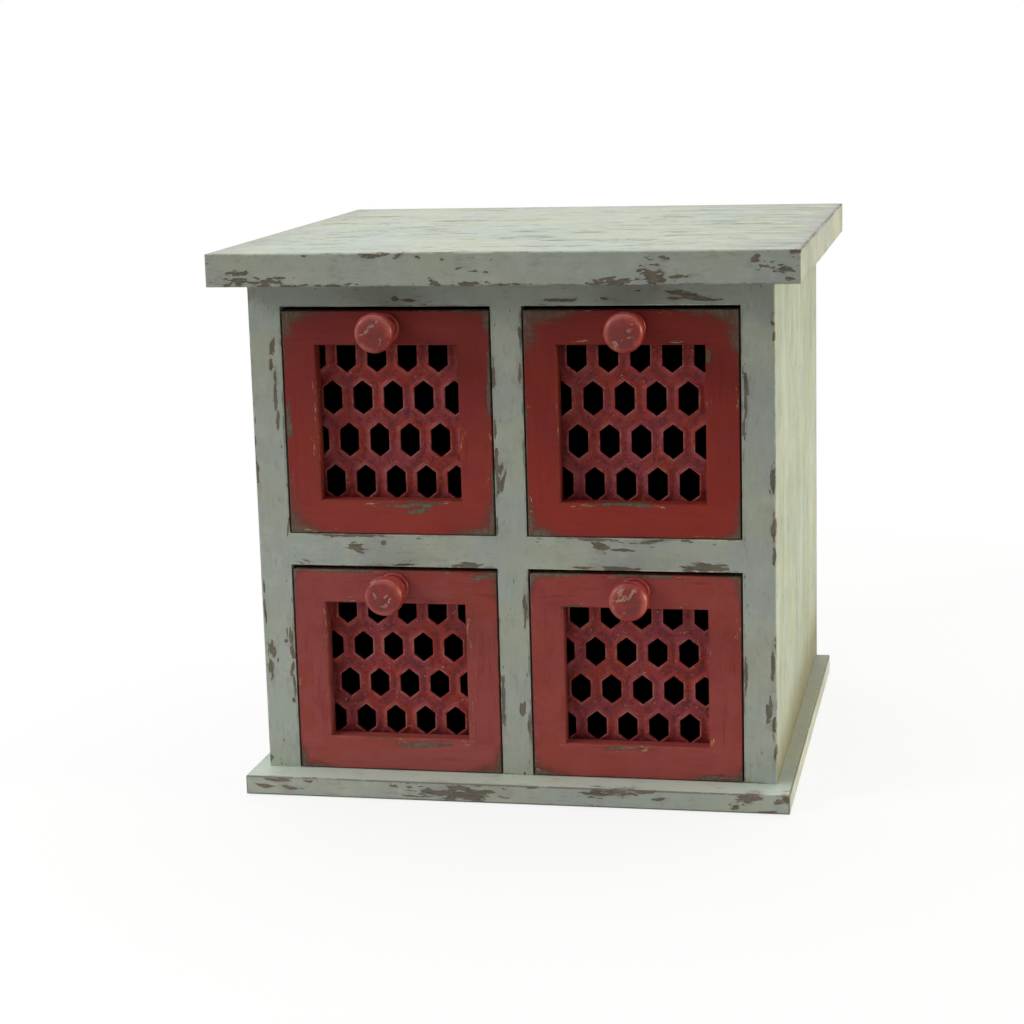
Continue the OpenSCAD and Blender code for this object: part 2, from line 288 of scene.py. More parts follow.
def softenEdges(bm, glued):
    # cuts the skin where a neighbour begins or ends, then rounds each long free edge
    for low, high in glued:
        for axis in range(3):
            normal = [float(i == axis) for i in range(3)]
            for value in (low[axis], high[axis]):
                bmesh.ops.bisect_plane(bm, geom=everything(bm),
                                       plane_co=[value * n for n in normal], plane_no=normal)
    rounded = []
    for edge in bm.edges:
        middle = (edge.verts[0].co + edge.verts[1].co) / 2
        convex = edge.is_manifold and edge.is_convex
        square = convex and edge.calc_face_angle() > softening["leastTurn"]
        free = not any(inBox(middle, box) for box in glued)
        if square and free and edge.calc_length() > softening["shortest"]:
            rounded.append(edge)
    made = bmesh.ops.bevel(bm, geom=rounded, offset=softening["width"], affect="EDGES",
                           segments=softening["segments"], profile=0.5, material=-1)
    for face in made["faces"]:
        face.smooth = True


def softened(name, body, material, glued=()):
    bm = copyOf(name)
    softenEdges(bm, glued)
    fitPiece(pieceFrom(inMetres(bm), name + "_painted"), body, name, material)


# Case boards: sage paint, worn back to grey-brown wood.

sageLook = {
    "paintCool": colour(178, 187, 178),
    "paintWarm": colour(184, 190, 171),
    "brushDark": colour(164, 171, 156),
    "brushLight": colour(200, 206, 194),
    "streakDark": colour(160, 172, 138),
    "streakLight": colour(202, 212, 200),
    "line": colour(108, 106, 90),
    "wood": colour(126, 121, 103),
    "woodDark": colour(98, 92, 78),
    "woodPurple": colour(132, 116, 108),
    "mauve": colour(160, 150, 146),
    "bloom": colour(152, 149, 144),
    "outline": colour(104, 98, 104),
    # painted light: the paler upper face of the base
    "ledge": colour(223, 242, 228),
    # painted shade, brown, on the right ledge of the base and low on the right side panel
    "paintedLowShade": colour(106, 97, 60),
    "endCream": colour(222, 216, 196),
    "endOlive": colour(150, 148, 116),
    "endLilac": colour(186, 184, 190),
    "cream": colour(212, 206, 178),
    "edgeLine": colour(118, 110, 103),
    "inside": colour(40, 33, 28),
    "chipLevel": 0.7,
    "spread": 1.3,         # every worn spot is this much larger than its numbers
    "roughness": 0.6,
    "gloss": 0.15,
    # mm: the hollow of the case, where the paint stops a little behind the front
    "hollow": ((-105.4, -107.0, 8.6), (105.4, 130.0, 227.4)),
}
# the marks of a large outer face: cycles per mm across the grain and the share along it for
# patches and for dark dashes, strength of patches, lines and the grey bloom at the edges, and
# the x from which the paint was brushed on dry
sideFace = {"patch": 0.028, "reach": 0.4, "dash": 0.26, "dashReach": 0.08, "streaks": 0.4,
            "lines": 0.6, "bloom": 0.5, "dry": 400}
plainBoard = {
    "grain": "x",
    "flake": 0.22,         # the share of a flake's fineness along the grain: less is longer
    "ragged": 2.6,         # how torn the flakes are
    "mauve": 0.35,         # share of mauve in the bare wood
    "edgeLine": 0.5,       # where the worn line of the edges begins: less is more of it
    "edgeDark": 0.6,       # strength of that line
    "paintedTopLight": 0.0,        # how much painted light makes the upper face paler
    "endMarks": 0.0,       # how uneven the paint is on the sawn ends
    "paintedLowShade": 0.0,           # brown painted shade at the lower right
    "face": None,          # marks of a large outer face, between two corners
    # where it meets the next board under the paint and has no worn edge: x, z of two corners
    "quiet": (),
}
# worn spots as seen on the front, in mm and degrees: x, z, half length, half width, tilt
boards = {
    "top_board": dict(
        plainBoard, flake=0.34, ragged=4.0, mauve=0.3, endMarks=0.7,
        face={"low": (-140, -133.6, 252.4), "high": (140, 140, 260), "patch": 0.05,
              "reach": 0.4, "dash": 0.1, "dashReach": 0.2, "streaks": 0.14, "lines": 1.0,
              "bloom": 0.75, "dry": 30},
        spots=[
            (68.5, 242, 5.4, 3.8, -33), (53.2, 239, 13.2, 1.3, 2), (-117.6, 240.6, 5.6, 1.7, -4),
            (125, 244.1, 4.5, 1.7, -12), (-103, 240.2, 6.9, 1.7, 10), (-53.9, 251.8, 7, 1.1, 3),
            (4.4, 238.7, 10.6, 0.6, 1), (-12.1, 239.1, 5.8, 1.1, 2), (117.5, 246, 3.6, 1.3, 11),
            (-117.2, 244.1, 5.5, 1.3, -4), (-27.7, 239.7, 2.9, 1.3, -22), (80.5, 241.6, 5, 0.7, 4),
            (113.6, 249.3, 2.2, 1.3, 19), (128.2, 240.3, 2.5, 0.9, -17), (74.6, 249.2, 2.3, 0.8, -5),
            (-75.7, 238.5, 9, 0.8, 1), (-92, 238.5, 7, 0.6, 3), (-43.7, 251.6, 2.5, 0.8, 23),
            (49.7, 241, 2.9, 0.5, 9), (-7.3, 244.3, 3.4, 0.5, -4), (130.7, 252, 1.9, 0.8, 1),
            (-34.4, 250.7, 1.3, 0.7, -11), (-86.4, 251.8, 2.2, 0.4, 6), (-109.1, 242.2, 1.9, 0.6, -21),
            (-16.3, 245.9, 1.7, 0.5, -1), (-122.5, 238.9, 1.9, 0.6, 5)]),
    "base_board": dict(
        plainBoard, flake=0.14, ragged=4.4, mauve=0.75, edgeLine=0.34, edgeDark=0.8, paintedTopLight=0.5,
        endMarks=0.6, paintedLowShade=0.34,
        spots=[
            (-27.7, 4, 17, 3.2, 1), (-18, 5.6, 12, 1.5, -8), (47, 7.6, 10, 1.5, 3), (39, 7, 5, 2.2, 11),
            (60, 7.6, 7, 1, 3), (108.8, 6.7, 5.4, 2, 19), (-111.5, 7.4, 6, 0.7, 0),
            (-56.9, 6.9, 2.6, 0.8, -10), (-48.6, 6.2, 2.2, 1.2, 12), (67.6, 5.3, 5.3, 0.8, 1),
            (-116.9, 3.9, 3.7, 1.5, 2), (-106.2, 4.1, 2.8, 0.8, -10), (121.7, 5.4, 1.6, 1.4, 25),
            (102.6, 2.6, 1.6, 0.9, 23), (9, 8, 3.2, 0.5, 5), (-95.8, 7.4, 2.6, 0.5, 4),
            (125, 7.6, 2, 1.4, -60), (115.5, 1, 5, 0.6, 2), (-15, 0.8, 3, 0.5, 2)]),
    "sub_top": dict(
        plainBoard, quiet=[(-110, 220, -103.6, 240), (103.6, 220, 110, 240),
                           (-8.4, 226, 8.4, 228.6), (-110, 236.8, 110, 240)],
        spots=[
            (81.1, 231.5, 8.5, 1.3, -12), (92, 229.4, 5, 0.7, 0), (76, 230, 3, 1, 0),
            (44.4, 230.4, 2.2, 0.8, -1), (24, 229.6, 6, 0.8, 0), (-50.5, 230.6, 1.6, 1.2, -30),
            (-45, 229.6, 3, 0.8, 0), (60, 233.5, 1.4, 0.5, 0)]),
    "left_side_panel": dict(
        plainBoard, grain="z", face=dict(sideFace, low=(-130, -140, 0), high=(-119.6, 140, 260)),
        quiet=[(-112, 107.4, -100, 121.6), (-112, 227.4, -100, 240), (-125, 236, 0, 240)],
        spots=[
            (-109.3, 208.7, 4.2, 1.4, 83), (-110.2, 200.8, 2.5, 0.7, 88), (-108.6, 188, 8.2, 0.9, 88),
            (-108, 175, 4.4, 0.8, 85), (-116.4, 66, 4, 1.5, -84), (-117, 58, 5, 1.1, -88),
            (-119.2, 151.6, 6.3, 0.9, -87), (-106.4, 72.3, 3.9, 1, -84), (-106.2, 64.6, 2.8, 1.1, -76),
            (-106, 49.6, 5.4, 0.7, -87), (-106.6, 56.7, 3.9, 0.8, 77), (-118.6, 84.4, 4.8, 0.6, -88),
            (-108.4, 74.5, 2.1, 0.4, -88), (-109.1, 70.3, 0.9, 0.8, 78), (-106.9, 41.3, 1.7, 0.7, -76),
            (-118.6, 96.2, 3.1, 0.4, -88), (-119.4, 165, 3, 0.5, -87), (-105.7, 124.7, 3.6, 0.5, 81),
            (-113.5, 60.9, 1.7, 0.5, -86), (-118.9, 13, 2.2, 1.2, 60)]),
    "right_side_panel": dict(
        plainBoard, grain="z", paintedLowShade=0.8,
        face=dict(sideFace, low=(119.6, -140, 0), high=(130, 140, 260)),
        quiet=[(100, 107.4, 112, 121.6), (100, 227.4, 112, 240), (0, 236, 125, 240)],
        spots=[
            (107, 188, 11, 0.9, 89), (106, 172, 4.4, 0.6, 90), (118.4, 148.8, 7.3, 1.4, 88),
            (119, 127.7, 6.3, 1.1, 88), (119, 114.6, 4, 0.8, 88), (119.4, 214, 3, 0.6, 88),
            (106, 58, 7.5, 0.8, 90), (118.4, 65, 7, 1, 88), (116.6, 44, 6.5, 1.3, 86),
            (118.5, 36, 4, 0.9, 88), (119.3, 23.5, 4.9, 0.7, 84), (119, 218.8, 1.2, 0.6, -44)]),
    "divider": dict(
        plainBoard, grain="z", quiet=[(-9, 107.4, 9, 121.6), (-9, 226, 9, 228)],
        spots=[
            (-6, 155, 11, 1.1, -89), (-6.2, 171, 5, 0.7, 89), (-3.2, 147.5, 5.5, 1.2, 72),
            (-4.4, 153, 2.6, 1, 80), (-6, 45.3, 14, 0.9, -90), (-6.3, 195.8, 6, 0.8, 89),
            (6.3, 214, 5, 0.8, 90), (6, 197, 4.6, 0.9, 88), (3, 40.6, 4.2, 1.1, 87),
            (6, 33, 5, 0.8, 90), (5.4, 88, 7.5, 0.8, 90), (-6.5, 127.4, 4.4, 0.5, 88)]),
    "left_shelf": dict(
        plainBoard, quiet=[(-110, 100, -103.6, 130), (-8.4, 100, -5, 130)],
        spots=[
            (-74, 121.4, 13, 0.6, 0), (-73.9, 115.7, 4.5, 2, -12), (-20.2, 108.1, 6.8, 1.2, 4),
            (-51.6, 107.8, 5.1, 0.6, 2), (-60.1, 117.8, 1.1, 1.1, -35)]),
    "right_shelf": dict(
        plainBoard, quiet=[(5, 100, 8.4, 130), (103.6, 100, 110, 130)],
        spots=[
            (88.1, 108.7, 10.5, 2.2, -3), (49.2, 107.7, 9, 1, -1), (38, 121.3, 8, 0.8, -1),
            (40.6, 118.1, 3.9, 2.1, -17), (64, 120.6, 7, 0.9, 6), (49.5, 116.6, 4.9, 0.6, -2),
            (80.2, 121.2, 3, 0.7, -5), (33, 108, 5, 0.9, 0)]),
}


def brushedSage(place, grain):
    # broad patches of cooler and warmer tone, then faint brush marks along the grain
    look = sageLook
    broad = noise(place, 0.025, 1.0)
    tone = mixColour(smooth(broad, 0.4, 0.6), look["paintCool"], look["paintWarm"])
    mottle = noise(place, 0.12, 3.0, 4.0, 0.6)
    tone = tint(tone, smooth(mottle, 0.52, 0.7), 0.4, look["brushLight"])
    tone = tint(tone, smooth(mottle, 0.48, 0.3), 0.35, look["brushDark"])
    brush = grainNoise(place, grain, 0.7, 0.12, 2.0, 4.0, 0.62)
    tone = tint(tone, smooth(brush, 0.52, 0.72), 0.22, look["brushLight"])
    tone = tint(tone, smooth(brush, 0.47, 0.28), 0.26, look["brushDark"])
    return tone, mottle, brush


def faceMarks(tone, place, low, high, grain, marks):
    # bolder streaks, thin dark dashes, and curls where strokes overlap
    look = sageLook
    x, y, _ = split(place)
    face = insideMask(place, marks["low"], marks["high"])
    streak = grainNoise(place, grain, marks["patch"], marks["reach"], 4.0, 5.0, 0.6)
    for start, stop, shade in ((0.52, 0.64, "streakLight"), (0.5, 0.38, "streakDark")):
        mask = times(face, smooth(streak, start, stop))
        tone = tint(tone, mask, marks["streaks"], look[shade])
    dash = grainNoise(place, grain, marks["dash"], marks["dashReach"], 5.0, 5.0, 0.64)
    curl = absolute(minus(grainNoise(place, grain, 0.07, 0.3, 7.0, 5.0, 0.62), 0.5))
    curl = times(smooth(curl, 0.016, 0.003),
                 smooth(grainNoise(place, grain, 0.045, 0.5, 8.0), 0.52, 0.57))
    scuff = times(larger(smooth(dash, 0.59, 0.65), curl), marks["lines"])
    # fine streaks where the brush ran dry
    dry = times(smooth(x, marks["dry"], marks["dry"] + 90), 0.8)
    fine = smooth(grainNoise(place, grain, 0.26, 0.08, 10.0, 6.0, 0.65), 0.5, 0.62)
    scuff = times(face, larger(scuff, times(fine, dry)))
    tone = tint(tone, scuff, 0.85, look["line"])
    # a greyer bloom toward the side and back edges of the face
    away = minus(high[1], y)
    if grain == "x":
        away = smaller(gapToSides(x, low[0], high[0]), away)
    cloud = noise(place, 0.05, 18.0, 4.0, 0.6)
    bloom = timesPlus(cloud, -70.0, calc("ADD", away, 35.0))
    bloom = larger(times(smooth(bloom, 18.0, 2.0), 0.45), smooth(away, 3.6, 0.6))
    tone = tint(tone, times(face, bloom), marks["bloom"], look["bloom"])
    outline = times(smooth(away, 1.5, 0.5), smooth(cloud, 0.36, 0.5))
    return tint(tone, times(face, outline), 0.6, look["outline"]), scuff


def endStrokes(tone, place, low, high, amount):
    # the sawn ends took the paint in uneven strokes
    look = sageLook
    x, _, z = split(place)
    ends = times(smooth(gapToSides(x, low[0], high[0]), 0.6, 0.2), amount)
    stroke = noise(place, (0.05, 0.021, 0.03), 21.0, 3.0, 0.5, 0.6)
    lilac = noise(place, 0.03, 22.0, 4.0, 0.6)
    for pattern, start, stop, strength, shade in (
            (stroke, 0.5, 0.58, 0.5, "endCream"), (stroke, 0.47, 0.4, 0.5, "endOlive"),
            (lilac, 0.52, 0.6, 0.6, "endLilac")):
        tone = tint(tone, times(ends, smooth(pattern, start, stop)), strength, look[shade])
    speckle = noise(place, (0.5, 0.22, 0.5), 23.0, 5.0, 0.65)
    lowEdge = smooth(minus(z, low[2]), 4.0, 0.5)
    speckle = smooth(timesPlus(lowEdge, 0.12, speckle), 0.64, 0.7)
    return tint(tone, times(ends, speckle), 0.5, look["outline"])


def rightLedge(place):
    # the upper face of the base to the right of the case
    x, y, _ = split(place)
    return times(smooth(x, 106.0, 124.0), smooth(y, -131.0, -100.0))


# painted light: the upper face is made paler, as if better lit, except on the right ledge
def paintedLightOnTop(tone, place, high, amount):
    upper = smooth(split(place)[2], high[2] - 0.5, high[2])
    upper = times(upper, amount, minus(1.0, rightLedge(place)))
    return tint(tone, upper, 1.0, sageLook["ledge"])


def paintedCornerShade(tone, place, high, grain, mottle, amount):
    # brown painted shade lies on the right ledge and climbs the side panel behind it, higher at the
    # back
    x, y, z = split(place)
    climb = timesPlus(y, -0.05, timesPlus(mottle, -18.0, z))
    paintedLowShade = timesPlus(smooth(climb, 34.0, 4.0), 0.72, times(smooth(climb, 110.0, 20.0), 0.28))
    where = smooth(x, 119.5, 119.9)
    if grain == "x":
        where = times(smooth(z, high[2] - 0.4, high[2] - 0.1), rightLedge(place))
    return tint(tone, times(where, paintedLowShade), amount, sageLook["paintedLowShade"])


def chipDepth(place, low, board, nearEdge):
    # above 0 the paint is gone: flakes at the worn spots, torn along the grain, and small ones
    look = sageLook
    torn = warped(place, 0.09, 4.0, 16.0)
    flakes = grainNoise(torn, board["grain"], 0.75, board["flake"], 9.0, 4.0, 0.6)
    small = times(minus(flakes, timesPlus(nearEdge, -0.05, look["chipLevel"])), 5.0)
    spots = [(x, z, length * look["spread"], width * look["spread"], tilt)
             for x, z, length, width, tilt in board["spots"]]
    shard = timesPlus(minus(flakes, 0.57), board["ragged"], spotMask(place, spots, low[1]))
    return larger(small, shard)


def sagePaint(name, board, low, high):
    look = sageLook
    grain = board["grain"]
    material, place = newMaterial(name)
    tone, mottle, brush = brushedSage(place, grain)
    scuff = 0.0
    if board["face"]:
        tone, scuff = faceMarks(tone, place, low, high, grain, board["face"])
    if board["paintedTopLight"]:
        tone = paintedLightOnTop(tone, place, high, board["paintedTopLight"])
    if board["endMarks"]:
        tone = endStrokes(tone, place, low, high, board["endMarks"])
    if board["paintedLowShade"]:
        tone = paintedCornerShade(tone, place, high, grain, mottle, board["paintedLowShade"])

    edge = edgeDistance(place, low, high)
    loud = 1.0
    for lowX, lowZ, highX, highZ in board["quiet"]:
        quiet = insideMask(place, (lowX, -120, lowZ), (highX, 120, highZ))
        loud = times(loud, minus(1.0, quiet))
    depth = chipDepth(place, low, board, times(smooth(edge, 5.0, 0.0), loud))
    chip = smooth(depth, -0.02, 0.16)
    rim = smooth(depth, -0.2, 0.0)
    stain = times(smooth(depth, -1.1, -0.1), smooth(noise(place, 0.1, 19.0), 0.46, 0.6))

    # the edges themselves: a thin broken line worn to the wood
    edgeNoise = noise(place, 0.05, 12.0, 7.0, 0.75)
    line = times(smooth(edge, 1.0, 0.4),
                 smooth(edgeNoise, board["edgeLine"], board["edgeLine"] + 0.12), loud)

    wood = mixColour(smooth(grainNoise(place, grain, 1.6, 0.1, 15.0, 4.0), 0.4, 0.62),
                     look["woodDark"], look["wood"])
    wood = tint(wood, smooth(mottle, 0.35, 0.6), board["mauve"], look["woodPurple"])
    tone = tint(tone, stain, 0.5, look["mauve"])
    tone = tint(tone, times(rim, smooth(mottle, 0.42, 0.55)), 0.5, look["cream"])
    tone = mixColour(times(chip, 0.94), tone, wood)
    tone = tint(tone, line, board["edgeDark"], look["edgeLine"])

    # inside the case the paint gives way to dark stain
    x, y, z = split(place)
    ragged = calc("ADD", y, timesPlus(mottle, 9.0, -4.5))
    shifted = addNode(place.id_data, "ShaderNodeCombineXYZ", {0: x, 1: ragged, 2: z}).outputs[0]
    tone = mixColour(insideMask(shifted, *look["hollow"]), tone, look["inside"])

    worn = larger(chip, line)
    height = timesPlus(scuff, -0.3, timesPlus(worn, -0.8, times(brush, 0.3)))
    rough = timesPlus(worn, 0.22, look["roughness"])
    return finishMaterial(material, tone, rough, height, 0.35, look["gloss"])


def finishBoards():
    boxes = {name: boxOf(name) for name in boards}
    for name, board in boards.items():
        box = boxes[name]
        glued = [other for key, other in boxes.items() if key != name and touching(other, box)]
        material = sagePaint("sage_" + name, board, *box)
        softened(name, "case", material, glued)


# Drawer fronts: brick red paint, worn back to olive-brown wood.

redLook = {
    "paintDeep": colour(130, 40, 37),
    "paintBright": colour(172, 66, 55),
    "paintCool": colour(140, 50, 60),
    "paintWarm": colour(154, 56, 32),
    # painted shade: the shadow of the top board's overhang on the upper fronts
    "shade": colour(92, 30, 30),
    "glaze": colour(108, 66, 56),
    "wood": colour(122, 114, 98),
    "woodDark": colour(102, 92, 78),
    "scratch": colour(224, 176, 132),
    "inside": colour(44, 36, 30),
    "roughness": 0.45,
    "gloss": 0.15,
}
frontSizes = {             # mm, as in the frame's own nodes
    "stile": 15.0,
    "topRail": 15.5,
    "bottomRail": 15.5,
}
# each front's paint, the painted shade of the top board toward its top and the painted light of
# the floor toward its bottom, its worn spots as above, and how far each corner is worn: low left,
# low right, top left, top right
fronts = {
    "upper_left": {
        "paint": colour(152, 62, 55), "shade": 0.4, "paintedFloorLight": 0.16, "seed": 20.0,
        "spots": [(-46, 136.4, 15, 1.5, 0), (-41, 133.6, 7, 1.5, 5), (-8.4, 196, 18, 1.6, 89),
                  (-102.8, 175, 11, 1.2, 90)],
        "corners": (1.3, 1.3, 1.25, 0.85)},
    "upper_right": {
        "paint": colour(150, 54, 45), "shade": 0.4, "paintedFloorLight": 0.2, "seed": 23.0,
        "spots": [(53, 137.2, 14, 1.3, 0), (90.6, 204, 4.5, 1.5, 85)],
        "corners": (1.1, 0.85, 1.5, 1.35)},
    "lower_left": {
        "paint": colour(163, 85, 81), "shade": 0.06, "paintedFloorLight": 0.3, "seed": 26.0,
        "spots": [(-48, 22, 13, 1.4, 2), (-84, 104.6, 18, 0.9, 0), (-15, 102.6, 4.5, 2.2, 10)],
        "corners": (0.75, 0.9, 0.5, 0.8)},
    "lower_right": {
        "paint": colour(167, 82, 77), "shade": 0.06, "paintedFloorLight": 0.25, "seed": 29.0,
        "spots": [(17, 104.6, 10, 1.1, 0), (50, 23.4, 12, 1.0, 0), (68, 104.6, 10, 0.9, 0),
                  (92, 11.6, 8, 2.0, 4)],
        "corners": (0.85, 0.7, 0.6, 0.8)},
}


def windowOf(drawer):
    low, high = boxOf(drawer + "_front_frame")
    return ((low.x + frontSizes["stile"], low.z + frontSizes["bottomRail"]),
            (high.x - frontSizes["stile"], high.z - frontSizes["topRail"]))


def wornRed(place, low, high, window, front, streaky):
    # how worn each point is, and its distance past the wear of the window's lip and outer edge
    x, y, z = split(place)
    seed = front["seed"]
    rag = minus(noise(place, 0.14, seed + 4, 6.0, 0.6, 0.3), 0.5)
    drift = minus(noise(place, 0.1, seed + 8, 2.0, 0.5), 0.5)
    worn = 0.0
    corners = [(low[0], low[2]), (high[0], low[2]), (low[0], high[2]), (high[0], high[2])]
    for (cornerX, cornerZ), size in zip(corners, front["corners"]):
        # near both edges at the corner, near one of them further along
        awayX = absolute(minus(x, cornerX))
        awayZ = absolute(minus(z, cornerZ))
        away = timesPlus(larger(awayX, awayZ), 0.45, times(smaller(awayX, awayZ), 1.45))
        reach = timesPlus(drift, -12.0, timesPlus(rag, -6.0, away))
        worn = larger(worn, smooth(reach, 15.0 * size, -2.0 * size))

    reach = timesPlus(noise(place, 0.035, seed + 5), 5.0, -3.3)
    outer = smaller(gapToSides(x, low[0], high[0]), gapToSides(z, low[2], high[2]))
    pastEdge = minus(timesPlus(rag, -2.5, outer), reach)
    worn = larger(worn, smooth(pastEdge, 1.5, -0.2))

    lips = [minus(absolute(minus(value, (lo + hi) / 2)), (hi - lo) / 2)
            for value, lo, hi in zip((x, z), *window)]
    pastLip = timesPlus(rag, -3.0, absolute(larger(*lips)))
    onFront = smooth(y, low[1] + 1.2, low[1] + 0.6)
    worn = larger(worn, times(smooth(minus(pastLip, reach), 0.9, -0.3), onFront))

    torn = timesPlus(streaky, 5.0, timesPlus(rag, 1.6, spotMask(place, front["spots"], low[1])))
    return larger(worn, smooth(torn, 0.0, 0.5)), smaller(pastLip, pastEdge)


def redPaint(name, front, low, high, window):
    look = redLook
    seed = front["seed"]
    material, place = newMaterial(name)
    _, y, z = split(place)

    # rails are brushed across and stiles along, as a painter would
    broad = noise(place, 0.03, seed + 1)
    tone = mixColour(smooth(broad, 0.3, 0.7), look["paintDeep"], look["paintBright"])
    tone = mixColour(0.8, tone, front["paint"])
    hue = noise(place, 0.05, seed + 6, 5.0, 0.62)
    tone = tint(tone, smooth(hue, 0.52, 0.64), 0.34, look["paintCool"])
    tone = tint(tone, smooth(hue, 0.5, 0.38), 0.34, look["paintWarm"])
    bottom, top = window[0][1], window[1][1]
    rail = larger(smooth(z, top - 0.5, top + 0.5), smooth(z, bottom + 0.5, bottom - 0.5))
    brush = blend(rail, noise(place, (0.55, 0.55, 0.05), seed + 2, 5.0, 0.62),
                  noise(place, (0.05, 0.55, 0.55), seed + 3, 5.0, 0.62))
    tone = tint(tone, smooth(brush, 0.53, 0.72), 0.4, look["paintBright"])
    tone = tint(tone, smooth(brush, 0.47, 0.28), 0.5, look["paintDeep"])
    # painted shade of the top board's overhang, darker toward the top of each front
    tone = tint(tone, smooth(z, low[2] + 15, high[2] - 4), front["shade"], look["shade"])
    # painted light from the floor, lighter toward the bottom of each front
    paintedFloorLight = tuple(1.35 * value for value in front["paint"][:3]) + (1.0,)
    tone = tint(tone, smooth(z, low[2] + 26, low[2] + 4), front["paintedFloorLight"], paintedFloorLight)

    streaky = minus(brush, 0.5)
    worn, past = wornRed(place, low, high, window, front, streaky)
    wood = mixColour(smooth(noise(place, (0.9, 0.9, 0.3), seed + 7, 4.0), 0.4, 0.6),
                     look["woodDark"], look["wood"])

    # fine cream scratches along the brush marks, thickest beside the worn places
    scratch = blend(rail, noise(place, (1.1, 1.1, 0.16), seed + 9, 6.0, 0.7, 0.8),
                    noise(place, (0.16, 1.1, 1.1), seed + 10, 6.0, 0.7, 0.8))
    beside = times(smooth(past, 5.5, 1.0), smooth(noise(place, 0.06, seed + 11), 0.47, 0.6))
    scratch = smooth(minus(scratch, timesPlus(beside, -0.125, 0.7)), 0.0, 0.03)

    tone = tint(tone, smooth(worn, 0.05, 0.6), 0.7, look["glaze"])
    tone = tint(tone, smooth(timesPlus(streaky, 0.9, worn), 0.3, 1.0), 0.9, wood)
    tone = tint(tone, scratch, 0.75, look["scratch"])
    tone = mixColour(smooth(y, high[1] - 1.6, high[1] - 0.8), tone, look["inside"])
    height = timesPlus(scratch, -0.35, timesPlus(worn, -0.6, times(brush, 0.35)))
    rough = timesPlus(worn, 0.3, look["roughness"])
    return finishMaterial(material, tone, rough, height, 0.3, look["gloss"])


def finishFronts():
    for drawer in drawerNames:
        node = drawer + "_front_frame"
        material = redPaint("red_" + drawer, fronts[drawer], *boxOf(node), windowOf(drawer))
        softened(node, drawer + "_drawer", material)


# Lattices: one cell is bridged from hexagons, repeated, and trimmed to the window.

latticeSizes = {           # mm
    "holeWidth": 8.9,
    "holePoint": 3.4,
    "holeFlare": 0.9,      # how much wider it is at the back, on each side
    "pitch": 14.4,
    "rowsSeen": 3.65,      # rows between the rails
    "rowWeb": 3.8,         # what is left between the holes of a column
    "firstRow": 0.36,      # middle of the lowest row over the bottom rail, in rows
    "rimHeight": 0.8,
    "borderSet": 1.0,      # the pierced field reaches this far behind the frame
    "tilePoint": 4.6,
    # the ridge round each hole: distance from the hole and depth below the crest
    "ridge": [(0.0, 0.36), (0.05, 0.18), (0.18, 0.05), (0.36, 0.0), (0.8, 0.06), (1.25, 0.24),
              (1.75, 0.52), (2.35, 0.8)],
    "shift": {"upper_left": -6.6, "upper_right": 2.9, "lower_left": 3.4, "lower_right": 1.6},
}
latticeLook = {
    "paintWarm": colour(157, 55, 45),
    "paintCool": colour(149, 59, 65),
    "raised": colour(168, 98, 94),
    "ground": colour(96, 36, 40),
    "grime": colour(92, 34, 34),
    "bare": colour(126, 98, 82),
    "speck": colour(220, 176, 156),
    "crest": colour(204, 142, 128),
    "foot": colour(192, 126, 120),
    "groove": colour(62, 36, 34),
    "behind": colour(30, 24, 22),
    "roughness": 0.45,
    "gloss": 0.2,
}


def closeLoop(bm, corners, depth):
    verts = [bm.verts.new((x, depth, z)) for x, z in corners]
    return [bm.edges.new((verts[i - 1], verts[i])) for i in range(len(verts))]


def hexLoop(bm, halfWidth, halfHeight, point, depth, grow=0.0):
    # grow moves every side outwards by the same distance
    slope = point / halfWidth
    wide = halfWidth + grow
    tall = halfHeight + grow * math.hypot(1, slope)
    shoulder = tall - slope * wide
    return closeLoop(bm, [(wide, -shoulder), (wide, shoulder), (0, tall),
                          (-wide, shoulder), (-wide, -shoulder), (0, -tall)], depth)


def bridge(bm, *loops):
    for first, second in zip(loops, loops[1:]):
        bmesh.ops.bridge_loops(bm, edges=first + second)


def latticeTile(rowPitch, front, back):
    # one cell: low ground, soft ridge round the hole, hole that widens to the back
    sizes = latticeSizes
    hole = (sizes["holeWidth"] / 2, (rowPitch - sizes["rowWeb"]) / 2, sizes["holePoint"])
    tile = (sizes["pitch"] / 2, (rowPitch + sizes["tilePoint"]) / 2, sizes["tilePoint"])
    bm = bmesh.new()
    ridge = [hexLoop(bm, *hole, front + depth, grow) for grow, depth in sizes["ridge"]]
    tileFront = hexLoop(bm, *tile, front + sizes["rimHeight"])
    holeBack = hexLoop(bm, *hole, back, sizes["holeFlare"])
    tileBack = hexLoop(bm, *tile, back)
    bridge(bm, tileFront, *reversed(ridge), holeBack, tileBack)
    mesh = bpy.data.meshes.new("tile")
    bm.to_mesh(mesh)
    bm.free()
    return mesh


def rectangle(bm, lowX, lowZ, highX, highZ, depth):
    return closeLoop(bm, [(lowX, lowZ), (highX, lowZ), (highX, highZ), (lowX, highZ)], depth)


